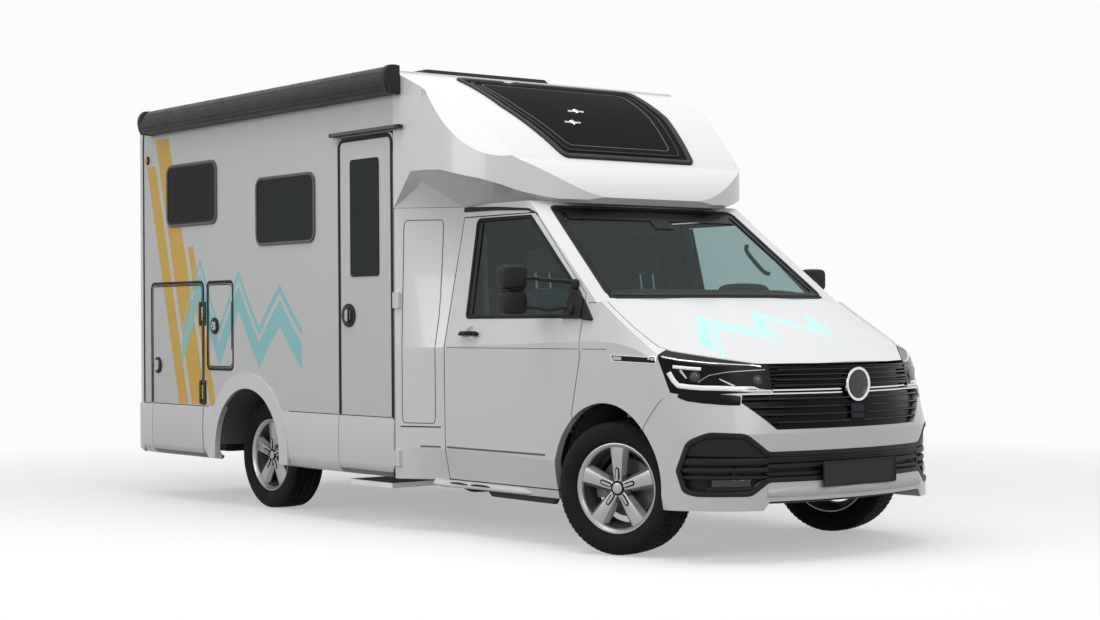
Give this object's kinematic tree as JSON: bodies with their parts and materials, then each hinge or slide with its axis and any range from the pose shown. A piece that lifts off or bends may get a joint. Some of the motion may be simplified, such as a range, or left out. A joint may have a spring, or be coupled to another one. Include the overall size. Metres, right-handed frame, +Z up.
{
  "type": "camper van",
  "caption": "Semi-integrated camper van: van cab with roof cap, panel-built living box with awning, hinged doors and hatches, and steered and rolling wheels.",
  "frame": {"origin": "on the ground under the middle of the overall box", "axes": "+X forward, +Y left, +Z up"},
  "size_m": [5.88, 2.43, 2.7659],
  "materials": {
    "white_paint": "gloss two-coat paint",
    "white_gelcoat": "gloss gelcoat",
    "silver_panel": "satin coated aluminium sheet",
    "clear_glass": "tinted laminated glass",
    "dark_acrylic": "dark acrylic",
    "lamp_glass": "clear lens over a dark housing",
    "red_lens": "moulded lens",
    "black_plastic": "grained plastic",
    "black_gloss": "gloss black with bright strips",
    "anthracite": "powder coat",
    "plate": "blank dark plate",
    "seat_fabric": "woven seat cloth",
    "bare_aluminium": "anodised",
    "floor_board": "coated board",
    "black_steel": "chassis paint",
    "cast_metal": "as cast",
    "exhaust_steel": "dull steel",
    "tyre": "tread rubber",
    "alloy": "silver lacquer"
  },
  "bodies": {
    "van_body": {"cab_shell": "white_paint", "windscreen": "clear_glass", "front_bumper": "white_paint", "headlamps": "lamp_glass", "grille": "black_gloss", "lower_intake": "black_plastic", "number_plates": "plate", "dashboard": "black_plastic", "cab_seats": "seat_fabric", "roof_cap": "white_gelcoat", "skylight": "dark_acrylic", "side_wall_right": "silver_panel", "side_wall_left": "silver_panel", "side_windows": "dark_acrylic", "rear_wall": "white_gelcoat", "roof_panel": "white_gelcoat", "fairings": "white_gelcoat", "awning": "anthracite", "gutter_bar": "white_gelcoat", "side_skirts": "white_paint", "rear_bumper": "white_gelcoat", "rear_lamps": "red_lens", "entry_step": "bare_aluminium", "floor": "floor_board", "chassis_frame": "black_steel", "arch_flares": "white_paint", "engine_block": "cast_metal", "front_suspension": "black_steel", "rear_axle": "black_steel", "exhaust": "exhaust_steel", "underfloor_tanks": "black_plastic", "front_liners": "black_plastic"},
    "hood": {"hood": "white_paint"},
    "cab_door_right": {"cab_door_right": "white_paint", "door_glass_right": "clear_glass", "mirror_right": "black_plastic"},
    "cab_door_left": {"cab_door_left": "white_paint", "door_glass_left": "clear_glass", "mirror_left": "black_plastic"},
    "entry_door": {"entry_door": "silver_panel", "entry_door_window": "dark_acrylic"},
    "garage_door": {"garage_door": "silver_panel"},
    "service_hatch": {"service_hatch": "silver_panel"},
    "roof_hatch": {"roof_hatch": "dark_acrylic"},
    "steering_wheel": {"steering_wheel": "black_plastic"},
    "knuckle_right": {"knuckle_right": "cast_metal"},
    "knuckle_left": {"knuckle_left": "cast_metal"},
    "wheel_front_right": {"tyre_front_right": "tyre", "rim_front_right": "alloy"},
    "wheel_front_left": {"tyre_front_left": "tyre", "rim_front_left": "alloy"},
    "wheel_rear_right": {"tyre_rear_right": "tyre", "rim_rear_right": "alloy"},
    "wheel_rear_left": {"tyre_rear_left": "tyre", "rim_rear_left": "alloy"}
  },
  "joints": [
    {"name": "steer_right", "type": "hinge", "parent": "van_body", "child": "knuckle_right", "pos_m": [2.032, -0.735, 0.345], "axis": [0, 0, 1], "range_deg": [-54, 16]},
    {"name": "steer_left", "type": "hinge", "parent": "van_body", "child": "knuckle_left", "pos_m": [2.032, 0.735, 0.345], "axis": [0, 0, 1], "range_deg": [-54, 16]},
    {"name": "hood_lift", "type": "hinge", "parent": "van_body", "child": "hood", "pos_m": [1.994, 0, 1.303], "axis": [0, -1, 0], "range_deg": [0, 55]},
    {"name": "cab_door_right_swing", "type": "hinge", "parent": "van_body", "child": "cab_door_right", "pos_m": [1.849, -0.949, 1.03], "axis": [0, 0, 1], "range_deg": [0, 65]},
    {"name": "cab_door_left_swing", "type": "hinge", "parent": "van_body", "child": "cab_door_left", "pos_m": [1.849, 0.949, 1.03], "axis": [0, 0, 1], "range_deg": [-65, 0]},
    {"name": "entry_door_swing", "type": "hinge", "parent": "van_body", "child": "entry_door", "pos_m": [0.34, -1.087, 1.33], "axis": [0, 0, 1], "range_deg": [0, 100]},
    {"name": "garage_door_swing", "type": "hinge", "parent": "van_body", "child": "garage_door", "pos_m": [-1.946, -1.087, 0.9], "axis": [0, 0, 1], "range_deg": [0, 95]},
    {"name": "service_hatch_swing", "type": "hinge", "parent": "van_body", "child": "service_hatch", "pos_m": [-1.549, -1.087, 1.19], "axis": [0, 0, 1], "range_deg": [0, 95]},
    {"name": "roof_hatch_lift", "type": "hinge", "parent": "van_body", "child": "roof_hatch", "pos_m": [-0.164, 0, 2.708], "axis": [0, 1, 0], "range_deg": [0, 60]},
    {"name": "steering_wheel_turn", "type": "hinge", "parent": "van_body", "child": "steering_wheel", "pos_m": [1.48, 0.4, 1.128], "axis": [-0.9336, 0, 0.3584], "range_deg": [-240, 810]},
    {"name": "wheel_front_right_spin", "type": "hinge", "parent": "knuckle_right", "child": "wheel_front_right", "pos_m": [2.05765, -0.81078, 0.345], "axis": [-0.3206, 0.9472, 0], "continuous": true},
    {"name": "wheel_rear_right_spin", "type": "hinge", "parent": "van_body", "child": "wheel_rear_right", "pos_m": [-1.368, -0.815, 0.345], "axis": [0, 1, 0], "continuous": true},
    {"name": "wheel_front_left_spin", "type": "hinge", "parent": "knuckle_left", "child": "wheel_front_left", "pos_m": [2.00635, 0.81078, 0.345], "axis": [-0.3206, 0.9472, 0], "continuous": true},
    {"name": "wheel_rear_left_spin", "type": "hinge", "parent": "van_body", "child": "wheel_rear_left", "pos_m": [-1.368, 0.815, 0.345], "axis": [0, 1, 0], "continuous": true}
  ],
  "couplings": [
    {"joint": "steer_left", "follows": "steer_right", "ratio": 1},
    {"joint": "steering_wheel_turn", "follows": "steer_right", "ratio": -15}
  ]
}
